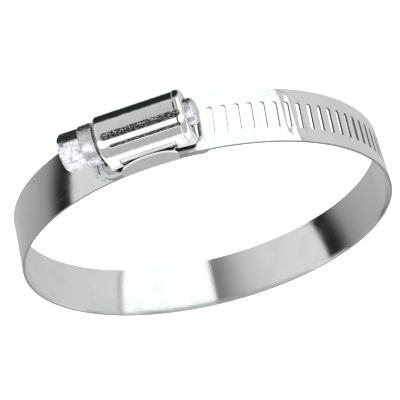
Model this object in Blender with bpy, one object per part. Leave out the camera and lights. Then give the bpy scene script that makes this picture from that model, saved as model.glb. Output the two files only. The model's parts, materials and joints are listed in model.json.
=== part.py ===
"""Worm-drive hose clamp, 14.3 mm slotted band, for hoses of 73 to 95 mm, modelled fully open.

Frame: metres, origin at the centre of the ring. Y is the ring's axis, +Z points up through the
middle of the housing, and the screw lies along X with its head towards -X. Angles round the ring
are in degrees from +X towards +Z.
"""
import bmesh
import bpy
from math import acos, atan, ceil, cos, degrees, pi, radians, sin, sqrt, tan, tau
from mathutils import Matrix, Vector

MM = 0.001
CLEARANCE = 0.3 * MM
CUT_OVERRUN = 1.0 * MM
SHARP_EDGE_ANGLE = 30.0

# The band
HOSE_DIAMETER = 95 * MM
BAND_WIDTH = 14.3 * MM
BAND_THICKNESS = 0.64 * MM
SLOT_PITCH = 3.175 * MM
SLOT_LENGTH = 7.2 * MM
SLOT_WIDTH = 1.2 * MM
SLOT_COUNT = 28
FIRST_SLOT_ANGLE = 102.7
TAIL_TIP_ANGLE = 106.6
SLOTTED_END_ANGLE = -12.0
TONGUE_TIP_ANGLE = 73.6
TONGUE_BEND_ANGLE = 81.0
TONGUE_DROP = 0.9 * MM
FIXED_END_ANGLE = 106.0
LINK_COUNT = 10
CORNER_RADIUS = 5.0 * MM
TONGUE_CORNER_RADIUS = 3.0 * MM
LINK_GAP = 0.3 * MM
OPEN_PIVOT_GAP = 3.4 * MM

# The two layers of band under the screw, and the pressings stacked with them
INNER_LAYER = HOSE_DIAMETER / 2
INNER_MIDDLE = INNER_LAYER + BAND_THICKNESS / 2
OUTER_LAYER = INNER_LAYER + BAND_THICKNESS + CLEARANCE
OUTER_MIDDLE = OUTER_LAYER + BAND_THICKNESS / 2
OUTER_TOP = OUTER_LAYER + BAND_THICKNESS
SHEET = 0.6 * MM
FOOT_LAYER = OUTER_TOP + CLEARANCE
FOOT_TOP = FOOT_LAYER + SHEET
SADDLE_BOTTOM = INNER_LAYER - CLEARANCE - SHEET
SADDLE_BEND = 0.5 * MM

# The screw
THREAD_CREST = 4.95 * MM
THREAD_ROOT = 3.75 * MM
THREAD_DEPTH_IN_SLOT = 0.45 * MM
CREST_WIDTH = 0.5 * MM
FLANK_ANGLE = 20.0
THREAD_HALF_LENGTH = 8.4 * MM
THREAD_RUN_OUT_TURNS = 0.5
THREAD_END_HEIGHT = 0.05
THREAD_STEPS_PER_TURN = 20
SCREW_HEIGHT = OUTER_TOP - THREAD_DEPTH_IN_SLOT + THREAD_CREST
HEX_ACROSS_FLATS = 7.94 * MM
HEAD_FACE_X = -19.2 * MM
HEAD_CHAMFER = 0.7 * MM
COLLAR_FACE_X = -14.05 * MM
COLLAR_BACK_X = -10.85 * MM
COLLAR_RADIUS = 4.9 * MM
COLLAR_EDGE = 0.3 * MM
JOURNAL_RADIUS = 4.1 * MM
JOURNAL_END_X = -9.0 * MM
TIP_RADIUS = 3.15 * MM
TIP_FACE_X = 13.3 * MM
TIP_DOME = 1.5 * MM
TIP_DOME_STEPS = 4
TIP_CENTRE_HOLE = 0.7 * MM
TIP_CENTRE_HOLE_END = 0.1 * MM
DRIVER_SLOT_WIDTH = 1.2 * MM
DRIVER_SLOT_DEPTH = 1.6 * MM

# The housing and the saddle
HOUSING_HEAD_END = -10.2 * MM
HOUSING_TIP_END = 10.85 * MM
HOUSING_RADIUS = 5.9 * MM
HOUSING_WALL = 0.7 * MM
HOUSING_END_WALL = 0.8 * MM
HOUSING_SKIRT_HEIGHT = 49.46 * MM
HEAD_END_ROUNDING = 0.5 * MM
TIP_END_ROUNDING = 1.3 * MM
RIB_ANGLE = 33.0
RIB_HALF_WIDTH = 13.0
RIB_HEIGHT = 0.42 * MM
RIB_FREE_END = 2.2 * MM
WAIST_HALF_WIDTH = 5.5 * MM
WAIST_HEIGHT = 51.6 * MM
SADDLE_ANGLE = 90.9
SADDLE_HALF_ANGLE = 7.9
FOOT_HALF_ANGLE = 7.2
FOOT_HALF_WIDTH = 6.35 * MM
SADDLE_SIDE = BAND_WIDTH / 2 + CLEARANCE
FOLD_LEAN = radians(50)
FOLD_START = OUTER_TOP + CLEARANCE
FOLD_SHORTEST = 1.1 * MM
FOLD_LONGEST = 2.7 * MM

STEEL = (0.78, 0.79, 0.80, 1.0)
BRIGHT_STEEL = (0.86, 0.87, 0.88, 1.0)
ZINC = (0.70, 0.72, 0.74, 1.0)


def on_ring(angle, radius, y=0.0):
    """The point at an angle round the ring, at a radius from its axis."""
    return Vector((radius * cos(radians(angle)), y, radius * sin(radians(angle))))


def arc_degrees(length, radius):
    return degrees(length / radius)


def make_material(name, color, roughness):
    material = bpy.data.materials.new(name)
    material.use_nodes = True
    shader = material.node_tree.nodes["Principled BSDF"]
    shader.inputs["Base Color"].default_value = color
    shader.inputs["Metallic"].default_value = 1.0
    shader.inputs["Roughness"].default_value = roughness
    material.diffuse_color = color
    return material


def make_object(name, bm, material=None):
    """An object of its own from a bmesh, with smooth faces meeting at sharp edges."""
    bmesh.ops.recalc_face_normals(bm, faces=bm.faces)
    mesh = bpy.data.meshes.new(name)
    bm.to_mesh(mesh)
    bm.free()
    mesh.shade_smooth()
    mesh.set_sharp_from_angle(angle=radians(SHARP_EDGE_ANGLE))
    thing = bpy.data.objects.new(name, mesh)
    if material:
        mesh.materials.append(material)
    bpy.context.collection.objects.link(thing)
    return thing


def make_cutter(name, bm):
    cutter = make_object(name, bm)
    cutter.hide_render = True
    cutter.display_type = "WIRE"
    return cutter


def combine(thing, other, operation):
    """A Boolean that stays live on the object."""
    modifier = thing.modifiers.new(f"{operation.lower()}_{other.name}", "BOOLEAN")
    modifier.operation = operation
    modifier.object = other
    modifier.solver = "EXACT"


def put_origin_on(thing, point):
    """Moves the object's origin to a joint's axis, and leaves its shape where it is."""
    thing.data.transform(Matrix.Translation(-point))
    thing.location = point


def loft(sections):
    """A closed solid through outlines that all have the same number of points."""
    bm = bmesh.new()
    rings = [[bm.verts.new(point) for point in section] for section in sections]
    count = len(rings[0])
    for here, there in zip(rings, rings[1:]):
        for k in range(count):
            after = (k + 1) % count
            bm.faces.new((here[k], here[after], there[after], there[k]))
    bm.faces.new(list(reversed(rings[0])))
    bm.faces.new(rings[-1])
    return bm


def band_strip(stations):
    """Flat strip bent round the ring; a station is (angle, middle radius, half width)."""
    half = BAND_THICKNESS / 2
    sections = []
    for angle, radius, half_width in stations:
        corners = [(-half, -1), (half, -1), (half, 1), (-half, 1)]
        sections.append([on_ring(angle, radius + rise, side * half_width) for rise, side in corners])
    return loft(sections)


def stations_between(start, end, middle_radius, step=2.5):
    """Stations of full width; middle_radius gives the radius at an angle."""
    count = ceil(abs(end - start) / step)
    angles = [start + (end - start) * k / count for k in range(count + 1)]
    return [(angle, middle_radius(angle), BAND_WIDTH / 2) for angle in angles]


def rounded_tip(tip, direction, corner, middle_radius, steps=6):
    """Stations that narrow towards a tip with round corners; direction is +1 or -1 round the ring."""
    stations = []
    for k in range(1, steps + 1):
        turn = pi / 2 * k / steps
        back = corner * (1 - sin(turn))
        half_width = BAND_WIDTH / 2 - corner * (1 - cos(turn))
        angle = tip - direction * arc_degrees(back, OUTER_MIDDLE)
        stations.append((angle, middle_radius(angle), half_width))
    return stations


def slot_cutter():
    """All the band's slots: round-ended, and leaning as the thread does where it enters them."""
    bm = bmesh.new()
    lean = atan(SLOT_PITCH / (tau * (THREAD_CREST - THREAD_DEPTH_IN_SLOT / 2)))
    end_steps = 5
    radius = SLOT_WIDTH / 2
    straight = SLOT_LENGTH / 2 - radius
    outline = []
    for side in (1, -1):
        for k in range(end_steps + 1):
            turn = pi * k / end_steps
            outline.append((side * radius * cos(turn), side * (straight + radius * sin(turn))))
    for number in range(SLOT_COUNT):
        angle = FIRST_SLOT_ANGLE - number * arc_degrees(SLOT_PITCH, OUTER_MIDDLE)
        forward = Vector((-sin(radians(angle)), 0, cos(radians(angle))))
        across = Vector((0, 1, 0))
        short = forward * cos(lean) + across * sin(lean)
        long = across * cos(lean) - forward * sin(lean)
        levels = []
        for level in (OUTER_LAYER - CUT_OVERRUN, OUTER_TOP + CUT_OVERRUN):
            middle = on_ring(angle, level)
            levels.append([bm.verts.new(middle + short * a + long * b) for a, b in outline])
        low, high = levels
        for k in range(len(outline)):
            after = (k + 1) % len(outline)
            bm.faces.new((low[k], low[after], high[after], high[k]))
        bm.faces.new(list(reversed(low)))
        bm.faces.new(high)
    return make_cutter("slot_cutter", bm)


def slotted_band(material):
    """The free end of the band, which the worm draws through the housing."""
    def radius(angle):
        return OUTER_MIDDLE
    corner_start = TAIL_TIP_ANGLE - arc_degrees(CORNER_RADIUS, OUTER_MIDDLE)
    stations = stations_between(SLOTTED_END_ANGLE, corner_start, radius)
    stations += rounded_tip(TAIL_TIP_ANGLE, 1, CORNER_RADIUS, radius)
    band = make_object("slotted_band", band_strip(stations), material)
    combine(band, slot_cutter(), "DIFFERENCE")
    return band


def fixed_band_end(material):
    """The end of the band that stays under the housing, with its short tongue past the saddle."""
    def radius(angle):
        bend = max(0.0, (TONGUE_BEND_ANGLE - angle) / (TONGUE_BEND_ANGLE - TONGUE_TIP_ANGLE))
        return INNER_MIDDLE - TONGUE_DROP * bend ** 2
    corner_start = TONGUE_TIP_ANGLE + arc_degrees(TONGUE_CORNER_RADIUS, OUTER_MIDDLE)
    end = FIXED_END_ANGLE - arc_degrees(LINK_GAP / 2, INNER_MIDDLE)
    stations = stations_between(end, corner_start, radius, step=1.5)
    stations += rounded_tip(TONGUE_TIP_ANGLE, -1, TONGUE_CORNER_RADIUS, radius)
    return make_object("fixed_band_end", band_strip(stations), material)


def link_angle(number):
    """The angle where link number begins, counted from 0 at the fixed end."""
    sweep = SLOTTED_END_ANGLE + 360 - FIXED_END_ANGLE
    return FIXED_END_ANGLE + sweep * number / LINK_COUNT


def plain_radius(angle):
    """The plain band climbs from the inner layer to the outer layer on its way round."""
    share = (angle - FIXED_END_ANGLE) / (SLOTTED_END_ANGLE + 360 - FIXED_END_ANGLE)
    return INNER_MIDDLE + (OUTER_MIDDLE - INNER_MIDDLE) * share


def band_link(number, material):
    """One stretch of the plain band. Its origin is on the hinge at the end nearer the fixed end."""
    last = number == LINK_COUNT - 1
    gap = OPEN_PIVOT_GAP if last else LINK_GAP / 2
    start = link_angle(number) + arc_degrees(LINK_GAP / 2, INNER_MIDDLE)
    end = link_angle(number + 1) - arc_degrees(gap, INNER_MIDDLE)
    strip = band_strip(stations_between(start, end, plain_radius))
    link = make_object(f"band_link_{number + 1:02d}", strip, material)
    hinge = link_angle(number)
    put_origin_on(link, on_ring(hinge, plain_radius(hinge)))
    return link


def rib_rise(around, along):
    """How far the two stiffening ribs stand out, at an angle from the top and a place along X."""
    across = abs(abs(around) - RIB_ANGLE) / RIB_HALF_WIDTH
    end = (along - HOUSING_HEAD_END - RIB_FREE_END) / RIB_FREE_END
    if across >= 1 or end <= 0:
        return 0.0
    return RIB_HEIGHT * cos(across * pi / 2) * sqrt(min(1.0, end))


def housing_outline(x, inset):
    """The housing's outer outline at x: a ribbed arch, drawn in to a waist, then straight down."""
    points = []
    steps = 44
    arch_end = 100.0
    for k in range(steps + 1):
        around = -arch_end + 2 * arch_end * k / steps
        radius = HOUSING_RADIUS + rib_rise(around, x) - inset
        points.append((radius * sin(radians(around)), SCREW_HEIGHT + radius * cos(radians(around))))
    skirt = [(WAIST_HALF_WIDTH - inset, WAIST_HEIGHT), (WAIST_HALF_WIDTH - inset, HOUSING_SKIRT_HEIGHT)]
    points += skirt
    points += [(-y, z) for y, z in reversed(skirt)]
    return [Vector((x, y, z)) for y, z in points]


def housing_stations():
    """Places along X with the inset that rounds each end."""
    stations = []
    corner_steps = 4
    for k in range(corner_steps + 1):
        turn = pi / 2 * k / corner_steps
        stations.append((HOUSING_HEAD_END + HEAD_END_ROUNDING * (1 - cos(turn)),
                         HEAD_END_ROUNDING * (1 - sin(turn))))
    rib_start = HOUSING_HEAD_END + RIB_FREE_END
    for share in (0.0, 0.15, 0.4, 0.7, 1.0):
        stations.append((rib_start + RIB_FREE_END * share, 0.0))
    for k in range(corner_steps + 1):
        turn = pi / 2 * k / corner_steps
        stations.append((HOUSING_TIP_END - TIP_END_ROUNDING * (1 - sin(turn)),
                         TIP_END_ROUNDING * (1 - cos(turn))))
    return stations


def round_bar(stations, steps=32):
    """A turned solid about the screw's axis; a station is (x, radius)."""
    sections = []
    for x, radius in stations:
        ring = []
        for k in range(steps):
            turn = tau * k / steps
            ring.append(Vector((x, radius * sin(turn), SCREW_HEIGHT + radius * cos(turn))))
        sections.append(ring)
    return loft(sections)


def housing_cavity():
    """The space for the worm, open downwards to the band."""
    inner = HOUSING_RADIUS - HOUSING_WALL
    neck = WAIST_HALF_WIDTH - HOUSING_WALL
    arch_end = degrees(acos((WAIST_HEIGHT + HOUSING_WALL - SCREW_HEIGHT) / inner))
    floor = OUTER_LAYER - CUT_OVERRUN
    steps = 28
    sections = []
    for x in (HOUSING_HEAD_END + HOUSING_END_WALL, HOUSING_TIP_END - HOUSING_END_WALL):
        arch = []
        for k in range(steps + 1):
            around = radians(-arch_end + 2 * arch_end * k / steps)
            arch.append(Vector((x, inner * sin(around), SCREW_HEIGHT + inner * cos(around))))
        arch += [Vector((x, neck, WAIST_HEIGHT)), Vector((x, neck, floor))]
        arch += [Vector((x, -neck, floor)), Vector((x, -neck, WAIST_HEIGHT))]
        sections.append(arch)
    return make_cutter("housing_cavity", loft(sections))


def arc_plate(start, end, low, high, edges, steps=8):
    """A plate bent round the ring, between two radii and two edges across the band."""
    left, right = edges
    sections = []
    for k in range(steps + 1):
        angle = start + (end - start) * k / steps
        sections.append([on_ring(angle, low, left), on_ring(angle, high, left),
                         on_ring(angle, high, right), on_ring(angle, low, right)])
    return loft(sections)


def housing(material):
    """The pressed shell over the worm, with its two feet."""
    sections = [housing_outline(x, inset) for x, inset in housing_stations()]
    shell = make_object("housing", loft(sections), material)
    for side, name in ((-1, "near_foot"), (1, "far_foot")):
        edges = sorted((side * (WAIST_HALF_WIDTH - HOUSING_WALL - CLEARANCE), side * FOOT_HALF_WIDTH))
        start, end = SADDLE_ANGLE - FOOT_HALF_ANGLE, SADDLE_ANGLE + FOOT_HALF_ANGLE
        foot = arc_plate(start, end, FOOT_LAYER, FOOT_TOP, edges)
        combine(shell, make_cutter(name, foot), "UNION")
    combine(shell, housing_cavity(), "DIFFERENCE")
    journal_hole = round_bar([(HOUSING_HEAD_END - CUT_OVERRUN, JOURNAL_RADIUS + CLEARANCE),
                              (0.0, JOURNAL_RADIUS + CLEARANCE)])
    combine(shell, make_cutter("journal_hole", journal_hole), "DIFFERENCE")
    tip_hole = round_bar([(0.0, TIP_RADIUS + CLEARANCE),
                          (HOUSING_TIP_END + CUT_OVERRUN, TIP_RADIUS + CLEARANCE)])
    combine(shell, make_cutter("tip_hole", tip_hole), "DIFFERENCE")
    return shell


def saddle(material):
    """The pressed plate under the band, its sides folded in so that they slant over the feet."""
    steps = 12
    sections = []
    for k in range(steps + 1):
        share = 2 * k / steps - 1
        angle = SADDLE_ANGLE + SADDLE_HALF_ANGLE * share
        length = FOLD_SHORTEST + (FOLD_LONGEST - FOLD_SHORTEST) * sqrt(1 - share ** 2)
        side = SADDLE_SIDE + SHEET
        end = (side - length * cos(FOLD_LEAN), FOLD_START + length * sin(FOLD_LEAN))
        inner_end = (end[0] - SHEET * sin(FOLD_LEAN), end[1] - SHEET * cos(FOLD_LEAN))
        inner_bend = FOLD_START - SHEET * tan((pi / 2 - FOLD_LEAN) / 2)
        half = [(side, SADDLE_BOTTOM + SADDLE_BEND), (side, FOLD_START), end, inner_end,
                (SADDLE_SIDE, inner_bend), (SADDLE_SIDE, SADDLE_BOTTOM + SHEET)]
        outline = [(side - SADDLE_BEND, SADDLE_BOTTOM)] + half
        outline += [(-y, radius) for y, radius in reversed(outline)]
        sections.append([on_ring(angle, radius, y) for y, radius in outline])
    return make_object("saddle", loft(sections), material)


def worm_thread():
    """The right-hand thread: its outline carried along a helix, drawn in at both ends."""
    flank = tan(radians(FLANK_ANGLE))
    buried = 0.4 * MM
    turns = 2 * THREAD_HALF_LENGTH / SLOT_PITCH
    steps = ceil(turns * THREAD_STEPS_PER_TURN)
    sections = []
    for k in range(steps + 1):
        along = -THREAD_HALF_LENGTH + 2 * THREAD_HALF_LENGTH * k / steps
        turns_to_end = (THREAD_HALF_LENGTH - abs(along)) / SLOT_PITCH
        share = min(1.0, THREAD_END_HEIGHT + turns_to_end / THREAD_RUN_OUT_TURNS)
        height = (THREAD_CREST - THREAD_ROOT) * share
        crest = THREAD_ROOT + height
        half_crest = CREST_WIDTH / 2
        half_root = half_crest + (height + buried) * flank
        turn = tau * (along - mesh_place()) / SLOT_PITCH - pi
        section = []
        for offset, radius in ((-half_root, THREAD_ROOT - buried), (-half_crest, crest),
                               (half_crest, crest), (half_root, THREAD_ROOT - buried)):
            section.append(Vector((along + offset, -radius * sin(turn), SCREW_HEIGHT + radius * cos(turn))))
        sections.append(section)
    return make_cutter("worm_thread", loft(sections))


def mesh_place():
    """Where along X the thread's lowest point must be, to stand in the slot nearest the top."""
    pitch = arc_degrees(SLOT_PITCH, OUTER_MIDDLE)
    nearest = FIRST_SLOT_ANGLE - pitch * round((FIRST_SLOT_ANGLE - 90) / pitch)
    return on_ring(nearest, OUTER_TOP).x


def hex_head():
    """The hexagon, with its corners turned off at the outer end."""
    corner = HEX_ACROSS_FLATS / 2 / cos(pi / 6)
    clear_of_corner = corner + CUT_OVERRUN
    flat = HEX_ACROSS_FLATS / 2
    sections = []
    for x in (HEAD_FACE_X, COLLAR_FACE_X + COLLAR_EDGE):
        ring = []
        for k in range(6):
            turn = tau * k / 6
            ring.append(Vector((x, corner * sin(turn), SCREW_HEIGHT + corner * cos(turn))))
        sections.append(ring)
    head = make_cutter("hex_head", loft(sections))
    chamfer_slope = (corner - flat) / HEAD_CHAMFER
    turned = round_bar([(HEAD_FACE_X, flat),
                        (HEAD_FACE_X + CUT_OVERRUN / chamfer_slope, flat + CUT_OVERRUN),
                        (HEAD_FACE_X + CUT_OVERRUN / chamfer_slope + CUT_OVERRUN, clear_of_corner),
                        (COLLAR_BACK_X, clear_of_corner)])
    combine(head, make_cutter("head_turning", turned), "INTERSECT")
    return head


def screw(material):
    """Head, collar, worm and tip in one piece, with its origin on its own axis."""
    tip_start = HOUSING_TIP_END - HOUSING_END_WALL - CLEARANCE
    stations = [
        (COLLAR_FACE_X, COLLAR_RADIUS - COLLAR_EDGE),
        (COLLAR_FACE_X + COLLAR_EDGE, COLLAR_RADIUS),
        (COLLAR_BACK_X - COLLAR_EDGE, COLLAR_RADIUS),
        (COLLAR_BACK_X, COLLAR_RADIUS - COLLAR_EDGE),
        (COLLAR_BACK_X, JOURNAL_RADIUS),
        (JOURNAL_END_X, JOURNAL_RADIUS),
        (JOURNAL_END_X, THREAD_ROOT),
        (tip_start, THREAD_ROOT),
        (tip_start, TIP_RADIUS),
    ]
    for k in range(TIP_DOME_STEPS):
        turn = pi / 2 * k / TIP_DOME_STEPS
        stations.append((TIP_FACE_X - TIP_DOME * (1 - sin(turn)), TIP_RADIUS * cos(turn)))
    stations.append((TIP_FACE_X, TIP_CENTRE_HOLE))
    stations.append((TIP_FACE_X - TIP_CENTRE_HOLE, TIP_CENTRE_HOLE_END))
    body = make_object("screw", round_bar(stations), material)
    combine(body, hex_head(), "UNION")
    combine(body, worm_thread(), "UNION")
    driver_slot = loft([[Vector((x, y, z)) for y, z in (
        (-DRIVER_SLOT_WIDTH / 2, SCREW_HEIGHT - HEX_ACROSS_FLATS),
        (DRIVER_SLOT_WIDTH / 2, SCREW_HEIGHT - HEX_ACROSS_FLATS),
        (DRIVER_SLOT_WIDTH / 2, SCREW_HEIGHT + HEX_ACROSS_FLATS),
        (-DRIVER_SLOT_WIDTH / 2, SCREW_HEIGHT + HEX_ACROSS_FLATS))]
        for x in (HEAD_FACE_X - CUT_OVERRUN, HEAD_FACE_X + DRIVER_SLOT_DEPTH)])
    combine(body, make_cutter("driver_slot", driver_slot), "DIFFERENCE")
    put_origin_on(body, Vector((0, 0, SCREW_HEIGHT)))
    return body


def build():
    for thing in list(bpy.data.objects):
        bpy.data.objects.remove(thing)
    band_steel = make_material("band_steel", BRIGHT_STEEL, 0.18)
    pressed_steel = make_material("pressed_steel", STEEL, 0.2)
    screw_steel = make_material("screw_steel", ZINC, 0.25)
    housing(pressed_steel)
    saddle(pressed_steel)
    screw(screw_steel)
    fixed_band_end(band_steel)
    slotted_band(band_steel)
    for number in range(LINK_COUNT):
        band_link(number, band_steel)


build()
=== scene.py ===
"""Looks of the worm-drive hose clamp: rolled band, pressed housing and saddle, turned screw.

Metres, in the CAD frame: the ring's axis is Y, +Z points up through the middle of the housing, and
the screw lies along X with its head towards -X. Angles round the ring are in degrees from +X
towards +Z. Angles round the screw are from the top, towards the near side at -Y.
"""

import bmesh
import bpy
import json
from math import acos, atan, atan2, ceil, cos, degrees, hypot, pi, radians, sin, sqrt, tan, tau
from mathutils import Matrix, Vector


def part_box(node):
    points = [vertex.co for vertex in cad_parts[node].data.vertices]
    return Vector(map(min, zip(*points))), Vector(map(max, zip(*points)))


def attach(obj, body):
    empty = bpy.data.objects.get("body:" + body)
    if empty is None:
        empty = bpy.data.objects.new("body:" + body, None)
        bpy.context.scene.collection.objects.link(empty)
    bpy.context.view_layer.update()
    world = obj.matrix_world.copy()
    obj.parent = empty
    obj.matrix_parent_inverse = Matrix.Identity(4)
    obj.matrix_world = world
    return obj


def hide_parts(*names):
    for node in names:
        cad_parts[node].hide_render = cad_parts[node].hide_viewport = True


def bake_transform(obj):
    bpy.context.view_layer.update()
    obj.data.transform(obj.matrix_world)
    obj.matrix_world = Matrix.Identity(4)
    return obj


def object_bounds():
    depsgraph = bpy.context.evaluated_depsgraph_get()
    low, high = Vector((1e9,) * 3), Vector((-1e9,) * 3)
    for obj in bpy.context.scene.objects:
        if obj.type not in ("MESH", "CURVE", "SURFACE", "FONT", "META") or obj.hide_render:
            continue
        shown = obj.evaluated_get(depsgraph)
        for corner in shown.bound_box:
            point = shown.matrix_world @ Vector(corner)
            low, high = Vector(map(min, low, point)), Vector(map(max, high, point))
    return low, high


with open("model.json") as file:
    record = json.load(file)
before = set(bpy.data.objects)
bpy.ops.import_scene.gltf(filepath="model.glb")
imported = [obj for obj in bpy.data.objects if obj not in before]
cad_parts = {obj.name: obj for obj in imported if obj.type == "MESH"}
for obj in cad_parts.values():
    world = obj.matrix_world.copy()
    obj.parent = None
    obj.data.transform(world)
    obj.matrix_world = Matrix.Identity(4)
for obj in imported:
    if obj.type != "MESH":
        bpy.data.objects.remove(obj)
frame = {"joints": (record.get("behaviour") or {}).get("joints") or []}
cad_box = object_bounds()

MM = 0.001


def joint_place(name):
    """Where a joint's axis lies in the frame."""
    return Vector(next(joint["pos_m"] for joint in frame["joints"] if joint["name"] == name))


def box_side(node, axis):
    """Lowest and highest value of a CAD node along one axis."""
    low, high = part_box(node)
    return low[axis], high[axis]


# Sizes that the frame gives
FIRST_HINGE = joint_place("band_link_01_bend")
LAST_HINGE = joint_place("band_link_10_bend")
SCREW_HEIGHT = joint_place("screw_turn").z
INNER_MIDDLE = hypot(FIRST_HINGE.x, FIRST_HINGE.z)
BAND_WIDTH = box_side("slotted_band", 1)[1] - box_side("slotted_band", 1)[0]
HEAD_FACE_X, TIP_FACE_X = box_side("screw", 0)
HOUSING_HEAD_END, HOUSING_TIP_END = box_side("housing", 0)
SADDLE_SIDE = box_side("saddle", 1)[1]
LINK_COUNT = 10
FIXED_END_ANGLE = degrees(atan2(FIRST_HINGE.z, FIRST_HINGE.x))
LINK_SWEEP = (degrees(atan2(LAST_HINGE.z, LAST_HINGE.x)) + 360 - FIXED_END_ANGLE) / (LINK_COUNT - 1)
SLOTTED_END_ANGLE = FIXED_END_ANGLE + LINK_COUNT * LINK_SWEEP - 360

# The band
BAND_THICKNESS = 0.64 * MM
LAYER_GAP = 0.3 * MM
OUTER_MIDDLE = INNER_MIDDLE + BAND_THICKNESS + LAYER_GAP
OUTER_TOP = OUTER_MIDDLE + BAND_THICKNESS / 2
BAND_EDGE_RADIUS = 0.10 * MM
EDGE_TILT = 0.3
SLOT_PITCH = 3.175 * MM
SLOT_LENGTH = 7.1 * MM
SLOT_WIDTH = 1.1 * MM
SLOT_COUNT = 28
SLOT_EDGE = 0.06 * MM
FIRST_SLOT_ANGLE = 102.7
TAIL_TIP_ANGLE = 106.6
TAIL_CORNER = 5.0 * MM
TONGUE_TIP_ANGLE = 73.6
TONGUE_BEND_ANGLE = 81.0
TONGUE_DROP = 0.9 * MM
TONGUE_CORNER = 3.0 * MM

# The screw
THREAD_CREST = 4.95 * MM
THREAD_ROOT = 3.75 * MM
THREAD_HALF_LENGTH = 8.4 * MM
CREST_WIDTH = 0.5 * MM
FLANK_ANGLE = 20.0
HEX_ACROSS_FLATS = 7.94 * MM
HEAD_CHAMFER = 0.7 * MM
COLLAR_FACE_X = HEAD_FACE_X + 5.15 * MM
COLLAR_BACK_X = HOUSING_HEAD_END - 0.42 * MM
COLLAR_RADIUS = 4.9 * MM
COLLAR_EDGE = 0.35 * MM
JOURNAL_OVERLAP = 0.6 * MM
HEX_CORNER_ROUNDING = 0.45 * MM
TIP_HOLE_RADIUS = 0.55 * MM
TIP_HOLE_DEPTH = 0.9 * MM
TIP_HOLE_EDGE = 0.1 * MM
JOURNAL_RADIUS = 3.9 * MM
TIP_RADIUS = 3.15 * MM
TIP_DOME = 1.5 * MM
DRIVER_SLOT_WIDTH = 1.2 * MM
DRIVER_SLOT_DEPTH = 1.6 * MM

# The housing and the saddle
SHEET = 0.6 * MM
HOUSING_RADIUS = 5.74 * MM
RIM_RISE = 0.16 * MM
HOUSING_WALL = 0.7 * MM
WAIST_HALF_WIDTH = 5.7 * MM
WAIST_HEIGHT = SCREW_HEIGHT - 2.0 * MM
FOOT_TOP = OUTER_TOP + LAYER_GAP + SHEET
SADDLE_BOTTOM = INNER_MIDDLE - BAND_THICKNESS / 2 - LAYER_GAP - SHEET
SADDLE_ANGLE = 90.9
SADDLE_HALF_ANGLE = 7.9
FOLD_LEAN = radians(50.0)
FOLD_START = OUTER_TOP + 0.15 * MM
FOLD_SHORTEST = 1.1 * MM
FOLD_LONGEST = 2.85 * MM
# Outer bend, start and two edges of the fold, its inner edge, and the two bends inside
SADDLE_BEND_RADII = [size * MM for size in (1.05, 0.35, 0.1, 0.1, 0.1, 0.1, 0.45)]
HEAD_END_ROUNDING = 0.9 * MM
TIP_END_ROUNDING = 1.3 * MM
FOOT_REACH = 6.2 * MM
FOOT_CORNER = 1.3 * MM
FOOT_LIFT = 0.8 * MM
BORE_GAP = 0.25 * MM
GROOVE_START = HOUSING_HEAD_END + 2.3 * MM
# Angle round the screw, start along X, half width and depth of each pressed groove
GROOVES = ((21.5, GROOVE_START, 0.85 * MM, 0.35 * MM),
           (47.0, GROOVE_START + 0.9 * MM, 0.36 * MM, 0.20 * MM))
RIM_START = HOUSING_TIP_END - 1.9 * MM

WORK_OVERRUN = 1.0 * MM


# ---------------------------------------------------------------- mesh helpers

def on_ring(angle, radius, y=0.0):
    """The point at an angle round the ring, at a radius from its axis."""
    return Vector((radius * cos(radians(angle)), y, radius * sin(radians(angle))))


def arc_degrees(length, radius):
    return degrees(length / radius)


def smooth_step(start, end, value):
    """0 before start, 1 after end, and an even curve between them."""
    share = min(1.0, max(0.0, (value - start) / (end - start)))
    return share * share * (3 - 2 * share)


def loft(sections):
    """A closed bmesh through outlines that all have the same number of points."""
    bm = bmesh.new()
    rings = [[bm.verts.new(point) for point in section] for section in sections]
    count = len(rings[0])
    for here, there in zip(rings, rings[1:]):
        for k in range(count):
            after = (k + 1) % count
            bm.faces.new((here[k], here[after], there[after], there[k]))
    bm.faces.new(list(reversed(rings[0])))
    bm.faces.new(rings[-1])
    return bm


def make_piece(name, bm, material, sharp_angle=32.0):
    """A shown object from a bmesh: faces outwards, smooth, with creases kept sharp."""
    bmesh.ops.recalc_face_normals(bm, faces=bm.faces)
    mesh = bpy.data.meshes.new(name)
    bm.to_mesh(mesh)
    bm.free()
    mesh.shade_smooth()
    mesh.set_sharp_from_angle(angle=radians(sharp_angle))
    mesh.materials.append(material)
    piece = bpy.data.objects.new(name, mesh)
    bpy.context.collection.objects.link(piece)
    return piece


def settle(piece, sharp_angle=32.0):
    """Turns a piece and its live modifiers into one plain mesh."""
    graph = bpy.context.evaluated_depsgraph_get()
    mesh = bpy.data.meshes.new_from_object(piece.evaluated_get(graph))
    piece.modifiers.clear()
    mesh.name = piece.name
    piece.data = mesh
    bm = bmesh.new()
    bm.from_mesh(mesh)
    bmesh.ops.remove_doubles(bm, verts=bm.verts, dist=0.0005 * MM)
    bm.to_mesh(mesh)
    bm.free()
    mesh.shade_smooth()
    mesh.set_sharp_from_angle(angle=radians(sharp_angle))
    return piece


def cut(piece, bm, operation="DIFFERENCE"):
    """Combines a piece with a working solid, which is then thrown away."""
    tool = make_piece("working_solid", bm, piece.data.materials[0])
    modifier = piece.modifiers.new("combine", "BOOLEAN")
    modifier.operation = operation
    modifier.object = tool
    modifier.solver = "EXACT"
    settle(piece)
    bpy.data.objects.remove(tool)
    return piece


def rounded_corner(before, corner, after, radius, steps=6):
    """Points of the arc that rounds one corner of an outline."""
    back = (before - corner).normalized()
    on = (after - corner).normalized()
    half_turn = back.angle(on) / 2
    centre = corner + (back + on).normalized() * (radius / sin(half_turn))
    start = corner + back * (radius / tan(half_turn)) - centre
    sweep = start.angle_signed(corner + on * (radius / tan(half_turn)) - centre)
    points = []
    for step in range(steps + 1):
        turn = -sweep * step / steps
        points.append(centre + Vector((start.x * cos(turn) - start.y * sin(turn),
                                       start.x * sin(turn) + start.y * cos(turn))))
    return points


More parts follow.
